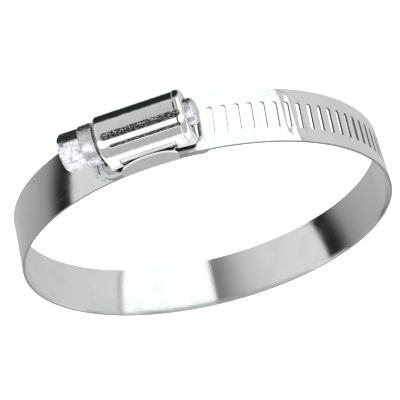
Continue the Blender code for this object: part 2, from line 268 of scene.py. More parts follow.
def rounded_outline(corners, radii, steps=6):
    """The outline through corners, each rounded by an arc of its own radius."""
    outline = []
    for k, corner in enumerate(corners):
        after = corners[(k + 1) % len(corners)]
        outline += rounded_corner(corners[k - 1], corner, after, radii[k], steps)
    return outline


# ---------------------------------------------------------------- the band

def band_section(half_width):
    """(rise, across) points round the band's cross-section, with its rolled edges."""
    half = BAND_THICKNESS / 2
    corners = [Vector((-half, -half_width)), Vector((half, -half_width)),
               Vector((half, half_width)), Vector((-half, half_width))]
    return rounded_outline(corners, [BAND_EDGE_RADIUS] * 4, steps=3)


def unroll(piece, first_angle):
    """A UV map in millimetres: along the strip from the angle 0, and across it."""
    mesh = piece.data
    uv = mesh.uv_layers.new(name="along_across")
    for polygon in mesh.polygons:
        middle = polygon.center
        face_angle = (degrees(atan2(middle.z, middle.x)) - first_angle) % 360 + first_angle
        for corner in polygon.loop_indices:
            place = mesh.vertices[mesh.loops[corner].vertex_index].co
            angle = degrees(atan2(place.z, place.x))
            angle += 360 * round((face_angle - angle) / 360)
            uv.data[corner].uv = (radians(angle) * OUTER_MIDDLE / MM, place.y / MM)


def dull_edges(piece, edge):
    """Gives the sheared edge material to every face that looks along the ring's axis."""
    piece.data.materials.append(edge)
    for polygon in piece.data.polygons:
        if abs(polygon.normal.y) > EDGE_TILT:
            polygon.material_index = len(piece.data.materials) - 1


def strip(name, stations, steels):
    """Band bent round the ring; a station is (angle, middle radius, half width)."""
    rolled, edge = steels
    sections = []
    for angle, radius, half_width in stations:
        points = band_section(half_width)
        sections.append([on_ring(angle, radius + rise, across) for rise, across in points])
    piece = make_piece(name, loft(sections), rolled)
    dull_edges(piece, edge)
    unroll(piece, first_angle=-30.0 if stations[0][0] < 60 else 60.0)
    return piece


def stations_between(start, end, middle_radius, step=0.5):
    count = ceil(abs(end - start) / step)
    angles = [start + (end - start) * k / count for k in range(count + 1)]
    return [(angle, middle_radius(angle), BAND_WIDTH / 2) for angle in angles]


def corner_half_width(back, corner):
    """Half the width at a distance back from a tip with round corners."""
    short = max(0.0, corner - back)
    return BAND_WIDTH / 2 - corner + sqrt(max(0.0, corner ** 2 - short ** 2))


def rounded_tip(tip, direction, corner, middle_radius, steps=16):
    """Stations that narrow towards a tip with round corners; direction is +1 or -1 round the ring."""
    stations = []
    for k in range(1, steps + 1):
        back = corner * (1 - sin(pi / 2 * k / steps))
        angle = tip - direction * arc_degrees(back, OUTER_MIDDLE)
        stations.append((angle, middle_radius(angle), corner_half_width(back, corner)))
    return stations


def plain_radius(angle):
    """The band climbs from the inner layer to the outer layer on its way round."""
    share = (angle - FIXED_END_ANGLE) / (LINK_COUNT * LINK_SWEEP)
    return INNER_MIDDLE + (OUTER_MIDDLE - INNER_MIDDLE) * min(1.0, max(0.0, share))


def tongue_radius(angle):
    """The short end under the housing is set down a little past the saddle."""
    bend = max(0.0, (TONGUE_BEND_ANGLE - angle) / (TONGUE_BEND_ANGLE - TONGUE_TIP_ANGLE))
    return plain_radius(angle) - TONGUE_DROP * bend ** 2


def link_middle(number):
    """The angle halfway along a link, which are numbered from 1."""
    return FIXED_END_ANGLE + (number - 0.5) * LINK_SWEEP


def fixed_end_strip(steels):
    """The tongue and the stretch under the housing, as far as the middle of the first link."""
    corner_start = TONGUE_TIP_ANGLE + arc_degrees(TONGUE_CORNER, OUTER_MIDDLE)
    stations = stations_between(link_middle(1), corner_start, tongue_radius)
    stations += rounded_tip(TONGUE_TIP_ANGLE, -1, TONGUE_CORNER, tongue_radius)
    piece = strip("band_fixed_end", stations, steels)
    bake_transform(piece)
    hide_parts("fixed_band_end")
    return piece


def bending_strip(number, steels):
    """The stretch from the middle of one link to the middle of the next."""
    start, end = link_middle(number), link_middle(number + 1)
    piece = strip(f"band_stretch_{number:02d}", stations_between(start, end, plain_radius), steels)
    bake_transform(piece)
    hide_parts(f"band_link_{number:02d}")
    return piece


def last_strip(steels):
    """From the middle of the last link to the slotted stretch."""
    start = link_middle(LINK_COUNT)
    end = SLOTTED_END_ANGLE + 360
    piece = strip(f"band_stretch_{LINK_COUNT:02d}", stations_between(start, end, plain_radius), steels)
    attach(piece, f"band_link_{LINK_COUNT:02d}")
    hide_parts(f"band_link_{LINK_COUNT:02d}")
    return piece


# ---------------------------------------------------------------- the slotted stretch

END_SEGMENTS = 10
SIDE_SEGMENTS = 6


def pitch_outline(half_length, half_width):
    """Points round a rectangle, matched one to one with those of slot_outline."""
    points = []
    for k in range(END_SEGMENTS):
        points.append((half_length * (1 - 2 * k / END_SEGMENTS), half_width))
    for k in range(SIDE_SEGMENTS):
        points.append((-half_length, half_width * (1 - 2 * k / SIDE_SEGMENTS)))
    return points + [(-x, -y) for x, y in points]


def slot_outline(grow):
    """Points round a round-ended slot, which leans as the thread does where it enters."""
    radius = SLOT_WIDTH / 2 + grow
    straight = SLOT_LENGTH / 2 - SLOT_WIDTH / 2
    points = []
    for k in range(END_SEGMENTS):
        turn = pi * k / END_SEGMENTS
        points.append((radius * cos(turn), straight + radius * sin(turn)))
    for k in range(SIDE_SEGMENTS):
        points.append((-radius, straight * (1 - 2 * k / SIDE_SEGMENTS)))
    points += [(-x, -y) for x, y in points]
    lean = atan(SLOT_PITCH / (tau * THREAD_CREST))
    return [(x * cos(lean) - y * sin(lean), y * cos(lean) + x * sin(lean)) for x, y in points]


def slot_pitch_mesh(steel, punched):
    """One flat pitch of band with its slot, open at both ends, to be repeated."""
    # Each level is an outline, its height and its finish, from the outer face down to the inner one
    half = BAND_THICKNESS / 2
    edge = BAND_EDGE_RADIUS
    flat = pitch_outline(SLOT_PITCH / 2, BAND_WIDTH / 2 - edge)
    levels = [
        (flat, half, 0),
        (slot_outline(2.2 * SLOT_EDGE), half, 0),
        (slot_outline(SLOT_EDGE), half - 0.2 * SLOT_EDGE, 0),
        (slot_outline(0.3 * SLOT_EDGE), half - 0.6 * SLOT_EDGE, 0),
        (slot_outline(0.0), half - 1.5 * SLOT_EDGE, 1),
        (slot_outline(0.0), 0.0, 1),
        (slot_outline(0.3 * SLOT_EDGE), -half + 0.3 * SLOT_EDGE, 1),
        (slot_outline(SLOT_EDGE), -half, 0),
        (flat, -half, 0),
    ]
    bm = bmesh.new()
    loops = [[bm.verts.new((x, y, z)) for x, y in outline] for outline, z, _ in levels]
    count = len(flat)
    for here, there, (_, _, finish) in zip(loops, loops[1:], levels[1:]):
        for k in range(count):
            after = (k + 1) % count
            face = bm.faces.new((here[k], here[after], there[after], there[k]))
            face.material_index = finish
    arc_steps = 3
    for first in (0, END_SEGMENTS + SIDE_SEGMENTS):
        side = 1 if first == 0 else -1
        rows = []
        for k in range(arc_steps * 2 + 2):
            turn = pi / 2 * (k if k <= arc_steps else k - 1) / arc_steps
            level = half - edge if k <= arc_steps else edge - half
            row = []
            for spot in range(END_SEGMENTS + 1):
                x = side * SLOT_PITCH / 2 * (1 - 2 * spot / END_SEGMENTS)
                y = side * (BAND_WIDTH / 2 - edge + edge * sin(turn))
                row.append(bm.verts.new((x, y, level + edge * cos(turn))))
            rows.append(row)
        for here, there in zip(rows, rows[1:]):
            for spot in range(END_SEGMENTS):
                face = bm.faces.new((here[spot], here[spot + 1], there[spot + 1], there[spot]))
                face.material_index = 1
    bmesh.ops.remove_doubles(bm, verts=bm.verts, dist=0.001 * MM)
    bmesh.ops.recalc_face_normals(bm, faces=bm.faces)
    mesh = bpy.data.meshes.new("slot_pitch")
    bm.to_mesh(mesh)
    bm.free()
    mesh.materials.append(steel)
    mesh.materials.append(punched)
    return mesh


def add_input(tree, name, kind, value):
    socket = tree.interface.new_socket(name, in_out="INPUT", socket_type=kind)
    socket.default_value = value
    return socket.identifier


class Tree:
    """A few words for building a node tree."""

    def __init__(self, tree):
        self.tree = tree
        self.column = 0

    def node(self, kind, links=None, **settings):
        """Adds a node, sets its properties, and feeds its inputs from values or other sockets."""
        node = self.tree.nodes.new(kind)
        node.location = (180 * self.column, 0)
        self.column += 1
        for name, value in settings.items():
            setattr(node, name, value)
        for key, source in (links or {}).items():
            socket = node.inputs[key]
            if isinstance(source, bpy.types.NodeSocket):
                self.tree.links.new(source, socket)
            else:
                socket.default_value = source
        return node

    def math(self, operation, a, b=0.0):
        return self.node("ShaderNodeMath", {0: a, 1: b}, operation=operation).outputs[0]


def band_of_slots_tree():
    """Geometry Nodes: repeats one pitch along a line, bends the row round the ring, narrows the tail."""
    tree = bpy.data.node_groups.new("band_of_slots", "GeometryNodeTree")
    tree.interface.new_socket("Geometry", in_out="INPUT", socket_type="NodeSocketGeometry")
    identifiers = {
        "Count": add_input(tree, "Count", "NodeSocketInt", SLOT_COUNT),
        "Pitch": add_input(tree, "Pitch", "NodeSocketFloat", SLOT_PITCH),
        "Radius": add_input(tree, "Radius", "NodeSocketFloat", OUTER_MIDDLE),
        "First angle": add_input(tree, "First angle", "NodeSocketFloat", radians(FIRST_SLOT_ANGLE)),
        "Tail length": add_input(tree, "Tail length", "NodeSocketFloat", SLOT_PITCH),
        "Tail corner": add_input(tree, "Tail corner", "NodeSocketFloat", TAIL_CORNER),
        "Half width": add_input(tree, "Half width", "NodeSocketFloat", BAND_WIDTH / 2),
    }
    tree.interface.new_socket("Geometry", in_out="OUTPUT", socket_type="NodeSocketGeometry")
    t = Tree(tree)
    given = t.node("NodeGroupInput").outputs
    step = t.node("ShaderNodeCombineXYZ", {"X": t.math("MULTIPLY", given["Pitch"], -1.0)}).outputs[0]
    row = t.node("GeometryNodeMeshLine", {"Count": given["Count"], "Offset": step}).outputs[0]
    spread = t.node("GeometryNodeInstanceOnPoints", {"Points": row, "Instance": given["Geometry"]})
    solid = t.node("GeometryNodeRealizeInstances", {"Geometry": spread.outputs[0]}).outputs[0]
    joined = t.node("GeometryNodeMergeByDistance", {"Geometry": solid, "Distance": 0.002 * MM}).outputs[0]

    flat = t.node("ShaderNodeSeparateXYZ", {0: t.node("GeometryNodeInputPosition").outputs[0]}).outputs
    back = t.math("SUBTRACT", given["Tail length"], flat["X"])
    short = t.math("MAXIMUM", t.math("SUBTRACT", given["Tail corner"], back), 0.0)
    square = t.math("SUBTRACT", t.math("POWER", given["Tail corner"], 2.0), t.math("POWER", short, 2.0))
    drawn_in = t.math("SUBTRACT", given["Tail corner"], t.math("SQRT", square))
    share = t.math("SUBTRACT", 1.0, t.math("DIVIDE", drawn_in, given["Half width"]))
    across = t.math("MULTIPLY", flat["Y"], share)
    angle = t.math("ADD", given["First angle"], t.math("DIVIDE", flat["X"], given["Radius"]))
    radius = t.math("ADD", given["Radius"], flat["Z"])
    bent = t.node("ShaderNodeCombineXYZ", {
        "X": t.math("MULTIPLY", radius, t.math("COSINE", angle)),
        "Y": across,
        "Z": t.math("MULTIPLY", radius, t.math("SINE", angle)),
    }).outputs[0]
    placed = t.node("GeometryNodeSetPosition", {"Geometry": joined, "Position": bent}).outputs[0]
    t.node("NodeGroupOutput", {0: placed})
    return tree, identifiers


def slotted_strip(steels):
    """The free end of the band: a plain start, the row of slots, and the rounded tail."""
    mesh = slot_pitch_mesh(*steels)
    piece = bpy.data.objects.new("band_slots", mesh)
    bpy.context.collection.objects.link(piece)
    tree, identifiers = band_of_slots_tree()
    modifier = piece.modifiers.new("band_of_slots", "NODES")
    modifier.node_group = tree
    tail_length = radians(TAIL_TIP_ANGLE - FIRST_SLOT_ANGLE) * OUTER_MIDDLE
    modifier[identifiers["Tail length"]] = tail_length
    settle(piece, sharp_angle=50.0)

    def radius(angle):
        return OUTER_MIDDLE
    half_pitch = arc_degrees(SLOT_PITCH / 2, OUTER_MIDDLE)
    row_end = FIRST_SLOT_ANGLE + half_pitch
    row_start = FIRST_SLOT_ANGLE - arc_degrees(SLOT_PITCH, OUTER_MIDDLE) * (SLOT_COUNT - 1) - half_pitch
    start = strip("band_plain_start", stations_between(SLOTTED_END_ANGLE, row_start, radius), steels)
    tail_back = arc_degrees(tail_length, OUTER_MIDDLE) - half_pitch
    steps = 14
    stations = []
    for k in range(steps + 1):
        angle = row_end + tail_back * sin(pi / 2 * k / steps)
        back = radians(TAIL_TIP_ANGLE - angle) * OUTER_MIDDLE
        stations.append((angle, OUTER_MIDDLE, corner_half_width(back, TAIL_CORNER)))
    tail = strip("band_tail", stations, steels)
    unroll(piece, first_angle=-30.0)
    for part in (piece, start, tail):
        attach(part, "slotted_band")
    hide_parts("slotted_band")


# ---------------------------------------------------------------- the housing

def groove_depth(x, around):
    """Depth of the pressed grooves at a place along X and an angle round the screw."""
    depth = 0.0
    for middle, start, half_width, deepest in GROOVES:
        past = max(start - x, x - RIM_START, 0.0)
        beside = HOUSING_RADIUS * radians(abs(around - middle))
        away = hypot(past, beside) / half_width
        if away < 1:
            depth = max(depth, deepest * cos(away * pi / 2) ** 1.2)
    return depth


def end_inset(x):
    """How far the shell is drawn in at its rounded ends."""
    inset = 0.0
    for reach, rounding in ((x - HOUSING_HEAD_END, HEAD_END_ROUNDING),
                            (HOUSING_TIP_END - x, TIP_END_ROUNDING)):
        short = max(0.0, rounding - max(0.0, reach))
        inset += rounding - sqrt(rounding ** 2 - short ** 2)
    return inset


def rim_rise(x):
    """The raised rim round the tip end."""
    return RIM_RISE * smooth_step(RIM_START - 0.1 * MM, RIM_START + 0.15 * MM, x)


def foot_share(x):
    """1 along the foot, which is held by the saddle, and 0 beyond its rounded ends."""
    from_middle = abs(x - on_ring(SADDLE_ANGLE, OUTER_TOP).x)
    beyond = max(0.0, from_middle - (FOOT_REACH - FOOT_CORNER)) / FOOT_CORNER
    return sqrt(max(0.0, 1 - beyond ** 2))


def shell_outline(x):
    """The shell's outer outline at x: grooved arch, wall, flare and foot on each side."""
    inset = end_inset(x)
    arch_end = 96.0
    steps = 96
    points = []
    for k in range(steps + 1):
        around = -arch_end + 2 * arch_end * k / steps
        radius = HOUSING_RADIUS + rim_rise(x) - inset - groove_depth(x, -around)
        points.append((radius * sin(radians(around)), SCREW_HEIGHT + radius * cos(radians(around))))
    foot = foot_share(x)
    lifted = FOOT_LIFT * (1 - foot)
    top = sqrt(FOOT_TOP ** 2 - x ** 2) + lifted
    wall = WAIST_HALF_WIDTH - inset
    flare = 0.06 * MM + 0.35 * MM * foot
    reach = wall + flare + 0.02 * MM + 0.3 * MM * foot
    half = [(wall, WAIST_HEIGHT)]
    for k in range(7):
        turn = pi / 2 * k / 6
        half.append((wall + flare * (1 - cos(turn)), top + flare * (1 - sin(turn))))
    half.append((reach, top - 0.1 * MM))
    half.append((reach, top - SHEET))
    points += half
    points += [(-y, z) for y, z in reversed(half)]
    return [Vector((x, y, z)) for y, z in points]


def shell_places():
    """Places along X, close together where the shell turns in at its ends and at the feet."""
    places = []
    for k in range(9):
        places.append(HOUSING_HEAD_END + HEAD_END_ROUNDING * (1 - cos(pi / 2 * k / 8)))
    count = 84
    start, end = HOUSING_HEAD_END + HEAD_END_ROUNDING, HOUSING_TIP_END - TIP_END_ROUNDING
    places += [start + (end - start) * k / count for k in range(1, count)]
    for k in range(11):
        places.append(HOUSING_TIP_END - TIP_END_ROUNDING * (1 - sin(pi / 2 * k / 10)))
    return places


def turned_bar(stations, steps=96):
    """A turned solid about the screw's axis; a station is (x, radius)."""
    sections = []
    for x, radius in stations:
        ring = []
        for k in range(steps):
            turn = tau * k / steps
            ring.append(Vector((x, radius * sin(turn), SCREW_HEIGHT + radius * cos(turn))))
        sections.append(ring)
    return loft(sections)


def cavity():
    """The space for the worm, open downwards to the band."""
    inner = HOUSING_RADIUS - HOUSING_WALL
    neck = WAIST_HALF_WIDTH - HOUSING_WALL
    arch_end = degrees(acos((WAIST_HEIGHT + HOUSING_WALL - SCREW_HEIGHT) / inner))
    floor = OUTER_TOP - 2 * WORK_OVERRUN
    steps = 64
    sections = []
    for x in (HOUSING_HEAD_END + HOUSING_WALL, HOUSING_TIP_END - HOUSING_WALL):
        arch = []
        for k in range(steps + 1):
            around = radians(-arch_end + 2 * arch_end * k / steps)
            arch.append(Vector((x, inner * sin(around), SCREW_HEIGHT + inner * cos(around))))
        arch += [Vector((x, neck, WAIST_HEIGHT)), Vector((x, neck, floor))]
        arch += [Vector((x, -neck, floor)), Vector((x, -neck, WAIST_HEIGHT))]
        sections.append(arch)
    return loft(sections)


def housing(material):
    """The pressed shell over the worm."""
    piece = make_piece("housing_shell", loft([shell_outline(x) for x in shell_places()]), material)
    cut(piece, cavity())
    for start, end, radius in ((HOUSING_HEAD_END - WORK_OVERRUN, 0.0, JOURNAL_RADIUS + BORE_GAP),
                               (0.0, HOUSING_TIP_END + WORK_OVERRUN, TIP_RADIUS + BORE_GAP)):
        cut(piece, turned_bar([(start, radius), (end, radius)]))
    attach(piece, "housing_group")
    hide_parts("housing")


# ---------------------------------------------------------------- the saddle

def saddle_outline(share):
    """(rise, across) points of the saddle's section; share runs from -1 to 1 along its length."""
    side = SADDLE_SIDE
    outwards = Vector((cos(FOLD_LEAN), sin(FOLD_LEAN)))
    inwards_up = Vector((sin(FOLD_LEAN), -cos(FOLD_LEAN)))
    fold_start = Vector((FOLD_START, side))
    fold_length = FOLD_SHORTEST + (FOLD_LONGEST - FOLD_SHORTEST) * sqrt(max(0.0, 1 - share ** 2))
    fold_end = fold_start + inwards_up * fold_length
    inner_corner = fold_start - outwards * SHEET
    inner_corner += inwards_up * ((inner_corner.y - (side - SHEET)) / cos(FOLD_LEAN))
    ledge = Vector((fold_end.x, fold_end.y - SHEET * sin(FOLD_LEAN)))
    half = [Vector((SADDLE_BOTTOM, side)), fold_start, fold_end, ledge, fold_end - outwards * SHEET,
            inner_corner, Vector((SADDLE_BOTTOM + SHEET, side - SHEET))]
    mirrored = [Vector((point.x, -point.y)) for point in reversed(half)]
    return rounded_outline(half + mirrored, SADDLE_BEND_RADII + SADDLE_BEND_RADII[::-1])


def saddle(material):
    """The pressed plate under the band, its sides folded in over the housing's feet."""
    steps = 60
    sections = []
    for k in range(steps + 1):
        share = sin(pi / 2 * (2 * k / steps - 1))
        angle = SADDLE_ANGLE + SADDLE_HALF_ANGLE * share
        sections.append([on_ring(angle, point.x, point.y) for point in saddle_outline(share)])
    piece = make_piece("saddle_plate", loft(sections), material)
    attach(piece, "housing_group")
    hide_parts("saddle")


# ---------------------------------------------------------------- the screw

def rounded_step(x, radius, edge, side, steps=4):
    """Stations that round a turned edge; side is -1 for its head end and +1 for its tip end."""
    stations = []
    for k in range(steps + 1):
        turn = pi / 2 * k / steps
        stations.append((x - side * edge * (1 - cos(turn)), radius - edge * (1 - sin(turn))))
    return stations if side < 0 else stations[::-1]


def screw_body(material):
    """Collar, journals, core and domed tip, turned in one piece, with the hexagon forged on."""
    edge = COLLAR_EDGE
    core_start = -THREAD_HALF_LENGTH - JOURNAL_OVERLAP
    core_end = HOUSING_TIP_END - HOUSING_WALL - LAYER_GAP
    stations = rounded_step(COLLAR_FACE_X, COLLAR_RADIUS, edge, -1)
    stations += rounded_step(COLLAR_BACK_X, COLLAR_RADIUS, edge, 1)
    stations += [(COLLAR_BACK_X, JOURNAL_RADIUS), (core_start, JOURNAL_RADIUS),
                 (core_start, THREAD_ROOT), (core_end, THREAD_ROOT), (core_end, TIP_RADIUS)]
    for k in range(9):
        turn = pi / 2 * k / 9
        stations.append((TIP_FACE_X - TIP_DOME * (1 - sin(turn)), TIP_RADIUS * cos(turn)))
    stations.append((TIP_FACE_X - TIP_HOLE_EDGE, TIP_HOLE_RADIUS))
    stations.append((TIP_FACE_X - TIP_HOLE_DEPTH, TIP_HOLE_EDGE))
    piece = make_piece("screw_body", turned_bar(stations), material)
    cut(piece, hexagon(material), "UNION")
    slot_side = [Vector((0, y, SCREW_HEIGHT + z)) for y, z in (
        (-DRIVER_SLOT_WIDTH / 2, -HEX_ACROSS_FLATS), (DRIVER_SLOT_WIDTH / 2, -HEX_ACROSS_FLATS),
        (DRIVER_SLOT_WIDTH / 2, HEX_ACROSS_FLATS), (-DRIVER_SLOT_WIDTH / 2, HEX_ACROSS_FLATS))]
    cut(piece, loft([[point + Vector((x, 0, 0)) for point in slot_side]
                     for x in (HEAD_FACE_X - WORK_OVERRUN, HEAD_FACE_X + DRIVER_SLOT_DEPTH)]))
    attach(piece, "screw")
    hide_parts("screw")


def hexagon(material):
    """The hexagon as a bmesh, its corners slightly rounded and its outer end turned to a cone."""
    corner = HEX_ACROSS_FLATS / 2 / cos(pi / 6)
    corners = [Vector((corner * sin(tau * k / 6), corner * cos(tau * k / 6)))
               for k in range(6)]
    outline = []
    for k, point in enumerate(corners):
        outline += rounded_corner(corners[k - 1], point, corners[(k + 1) % 6], HEX_CORNER_ROUNDING)
    sections = [[Vector((x, point.x, SCREW_HEIGHT + point.y)) for point in outline]
                for x in (HEAD_FACE_X, COLLAR_FACE_X + 0.5 * MM)]
    head = make_piece("hexagon", loft(sections), material)
    flat = HEX_ACROSS_FLATS / 2
    slope = (corner - flat) / HEAD_CHAMFER
    reach = corner + WORK_OVERRUN
    cut(head, turned_bar([(HEAD_FACE_X, flat - 0.05 * MM),
                          (HEAD_FACE_X + (reach - flat) / slope, reach),
                          (COLLAR_BACK_X, reach)]), "INTERSECT")
    bm = bmesh.new()
    bm.from_mesh(head.data)
    bpy.data.objects.remove(head)
    return bm


def thread_tree():
    """Geometry Nodes: sweeps the thread's outline along a helix that fades out at both ends."""
    tree = bpy.data.node_groups.new("worm_thread", "GeometryNodeTree")
    tree.interface.new_socket("Geometry", in_out="INPUT", socket_type="NodeSocketGeometry")
    names = (("Pitch", SLOT_PITCH), ("Length", 2 * THREAD_HALF_LENGTH), ("Root radius", THREAD_ROOT),
             ("Crest radius", THREAD_CREST), ("Crest width", CREST_WIDTH),
             ("Flank slope", tan(radians(FLANK_ANGLE))), ("Turns to fade", 0.5),
             ("Start turn", 0.0), ("Middle height", SCREW_HEIGHT))
    identifiers = {name: add_input(tree, name, "NodeSocketFloat", value) for name, value in names}
    identifiers["Material"] = tree.interface.new_socket(
        "Material", in_out="INPUT", socket_type="NodeSocketMaterial").identifier
    tree.interface.new_socket("Geometry", in_out="OUTPUT", socket_type="NodeSocketGeometry")
    t = Tree(tree)
    given = t.node("NodeGroupInput").outputs
    turns = t.math("DIVIDE", given["Length"], given["Pitch"])
    sunk = t.math("SUBTRACT", given["Root radius"], 0.1 * MM)
    steps_per_turn = 64
    line = t.node("GeometryNodeCurveSpiral", {
        "Resolution": steps_per_turn, "Rotations": turns, "Start Radius": sunk, "End Radius": sunk,
        "Height": given["Length"], "Reverse": False}).outputs[0]
    factor = t.node("GeometryNodeSplineParameter").outputs["Factor"]
    to_end = t.math("MULTIPLY", t.math("MINIMUM", factor, t.math("SUBTRACT", 1.0, factor)), turns)
    fade = t.math("MINIMUM", t.math("DIVIDE", to_end, given["Turns to fade"]), 1.0)
    fade = t.math("MAXIMUM", t.math("SQRT", fade), 0.05)
    upright = t.node("GeometryNodeSetCurveNormal", {"Curve": line}, mode="Z_UP").outputs[0]
    swelled = t.node("GeometryNodeSetCurveRadius", {"Curve": upright, "Radius": fade}).outputs[0]

    height = t.math("SUBTRACT", given["Crest radius"], sunk)
    half_crest = t.math("MULTIPLY", given["Crest width"], 0.5)
    half_root = t.math("ADD", half_crest, t.math("MULTIPLY", height, given["Flank slope"]))
    corners = {}
    for key, across, rise in (("Point 1", half_root, 0.0), ("Point 2", half_crest, height),
                              ("Point 3", t.math("MULTIPLY", half_crest, -1.0), height),
                              ("Point 4", t.math("MULTIPLY", half_root, -1.0), 0.0)):
        corners[key] = t.node("ShaderNodeCombineXYZ", {"X": rise, "Y": across}).outputs[0]
    outline = t.node("GeometryNodeCurvePrimitiveQuadrilateral", corners, mode="POINTS").outputs[0]
    eased = t.node("GeometryNodeFilletCurve", {"Curve": outline, "Radius": 0.09 * MM, "Count": 2},
                   mode="POLY")
    swept = t.node("GeometryNodeCurveToMesh", {"Curve": swelled, "Profile Curve": eased.outputs[0],
                                               "Fill Caps": True}).outputs[0]
    half_length = t.math("MULTIPLY", given["Length"], -0.5)
    centred = t.node("GeometryNodeTransform", {
        "Geometry": swept,
        "Translation": t.node("ShaderNodeCombineXYZ", {"Z": half_length}).outputs[0],
        "Rotation": t.node("ShaderNodeCombineXYZ", {"Z": given["Start turn"]}).outputs[0]}).outputs[0]
    laid = t.node("GeometryNodeTransform", {
        "Geometry": centred, "Rotation": (0.0, pi / 2, 0.0),
        "Translation": t.node("ShaderNodeCombineXYZ", {"Z": given["Middle height"]}).outputs[0]})
    painted = t.node("GeometryNodeSetMaterial", {"Geometry": laid.outputs[0],
                                                 "Material": given["Material"]}).outputs[0]
    t.node("NodeGroupOutput", {0: painted})
    return tree, identifiers


def screw_thread(material):
    """The worm's thread, in step with the slot nearest the top."""
    piece = bpy.data.objects.new("screw_thread", bpy.data.meshes.new("screw_thread"))
    bpy.context.collection.objects.link(piece)
    tree, identifiers = thread_tree()
    modifier = piece.modifiers.new("worm_thread", "NODES")
    modifier.node_group = tree
    pitch_angle = arc_degrees(SLOT_PITCH, OUTER_MIDDLE)
    nearest = FIRST_SLOT_ANGLE - pitch_angle * round((FIRST_SLOT_ANGLE - 90) / pitch_angle)
    slot_x = on_ring(nearest, OUTER_TOP).x
    modifier[identifiers["Start turn"]] = tau * (-THREAD_HALF_LENGTH - slot_x) / SLOT_PITCH
    modifier[identifiers["Material"]] = material
    settle(piece)
    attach(piece, "screw")


# ---------------------------------------------------------------- finishes

# Painted shade: a dark, near-black colour painted into the pressed grooves, along the crease where the
# rim starts, and in the gap behind the collar
PAINTED_SHADE_COLOR = (0.03, 0.035, 0.035, 1.0)
SHADE_GAP_MARGIN = 0.04 * MM
CREASE_ANGLES = (radians(-5.0), radians(52.0))
CREASE_HALF_WIDTH = 0.2 * MM


def steel(name, color, roughness):
    """A metal's Principled shader, with its tree ready for nodes."""
    material = bpy.data.materials.new(name)
    material.use_nodes = True
    material.diffuse_color = (*color, 1.0)
    shader = material.node_tree.nodes["Principled BSDF"]
    shader.inputs["Base Color"].default_value = (*color, 1.0)
    shader.inputs["Metallic"].default_value = 1.0
    shader.inputs["Roughness"].default_value = roughness
    return material, Tree(material.node_tree), shader


def shader_group(name, inputs, outputs):
    """An empty shader group with named float and vector sockets."""
    tree = bpy.data.node_groups.new(name, "ShaderNodeTree")
    for label, value in inputs.items():
        kind = "NodeSocketVector" if value is None else "NodeSocketFloat"
        socket = tree.interface.new_socket(label, in_out="INPUT", socket_type=kind)
        if value is not None:
            socket.default_value = value
    for label in outputs:
        tree.interface.new_socket(label, in_out="OUTPUT", socket_type="NodeSocketFloat")
    return tree, Tree(tree)


def grain_group():
    """Fine lines left by rolling or drawing, long in one direction."""
    tree, t = shader_group("drawn_grain", {"Place": None, "Length": 12.0, "Width": 0.12},
                           ("Grain",))
    given = t.node("NodeGroupInput").outputs
    stretch = t.node("ShaderNodeCombineXYZ", {
        "X": t.math("DIVIDE", 1.0, given["Length"]),
        "Y": t.math("DIVIDE", 1.0, given["Width"]),
        "Z": t.math("DIVIDE", 1.0, given["Width"])}).outputs[0]
    place = t.node("ShaderNodeVectorMath", {0: given["Place"], 1: stretch}, operation="MULTIPLY")
    lines = t.node("ShaderNodeTexNoise", {"Vector": place.outputs[0], "Scale": 1.0, "Detail": 3.0,
                                          "Roughness": 0.6}).outputs[0]
    t.node("NodeGroupOutput", {"Grain": lines})
    return tree


def handling_group():
    """Soft smudges and hair-thin scratches from handling."""
    tree, t = shader_group("handling_marks", {"Place": None, "Smudge size": 6.0, "Scratch size": 9.0},
                           ("Smudge", "Scratch"))
    given = t.node("NodeGroupInput").outputs
    cloud_place = t.node("ShaderNodeVectorMath", {
        0: given["Place"], "Scale": t.math("DIVIDE", 1.0, given["Smudge size"])}, operation="SCALE")
    cloud = t.node("ShaderNodeTexNoise", {"Vector": cloud_place.outputs[0], "Scale": 1.0,
                                          "Detail": 5.0, "Roughness": 0.65}).outputs[0]
    smudge = t.node("ShaderNodeMapRange", {"Value": cloud, "From Min": 0.42, "From Max": 0.72},
                    interpolation_type="SMOOTHSTEP").outputs[0]
    line_place = t.node("ShaderNodeVectorMath", {
        0: given["Place"], "Scale": t.math("DIVIDE", 1.0, given["Scratch size"])}, operation="SCALE")
    scratches = None
    for lean, stretch in ((0.3, 26.0), (-0.9, 34.0)):
        turned = t.node("ShaderNodeMapping", {
            "Vector": line_place.outputs[0], "Rotation": (lean, lean, lean),
            "Scale": (1.0, stretch, stretch)}).outputs[0]
        lines = t.node("ShaderNodeTexNoise", {"Vector": turned, "Scale": 1.0, "Detail": 1.0}).outputs[0]
        thin = t.node("ShaderNodeMapRange", {"Value": lines, "From Min": 0.70,
                                             "From Max": 0.76}).outputs[0]
        scratches = thin if scratches is None else t.math("MAXIMUM", scratches, thin)
    t.node("NodeGroupOutput", {"Smudge": smudge, "Scratch": scratches})
    return tree


def between(t, share, low, high):
    """A value that goes from low to high with share."""
    return t.node("ShaderNodeMapRange", {"Value": share, "To Min": low, "To Max": high}).outputs[0]


def mixed(t, share, start, end):
    """A colour that goes from start to end with share; each is a colour or another node's output."""
    mix = t.node("ShaderNodeMix", {"Factor": share, "A": start, "B": end}, data_type="RGBA")
    return mix.outputs["Result"]


def tint(t, share, light, dark):
    return mixed(t, share, (*light, 1.0), (*dark, 1.0))


def bump(t, height, distance):
    return t.node("ShaderNodeBump", {"Height": height, "Strength": 1.0, "Distance": distance}).outputs[0]


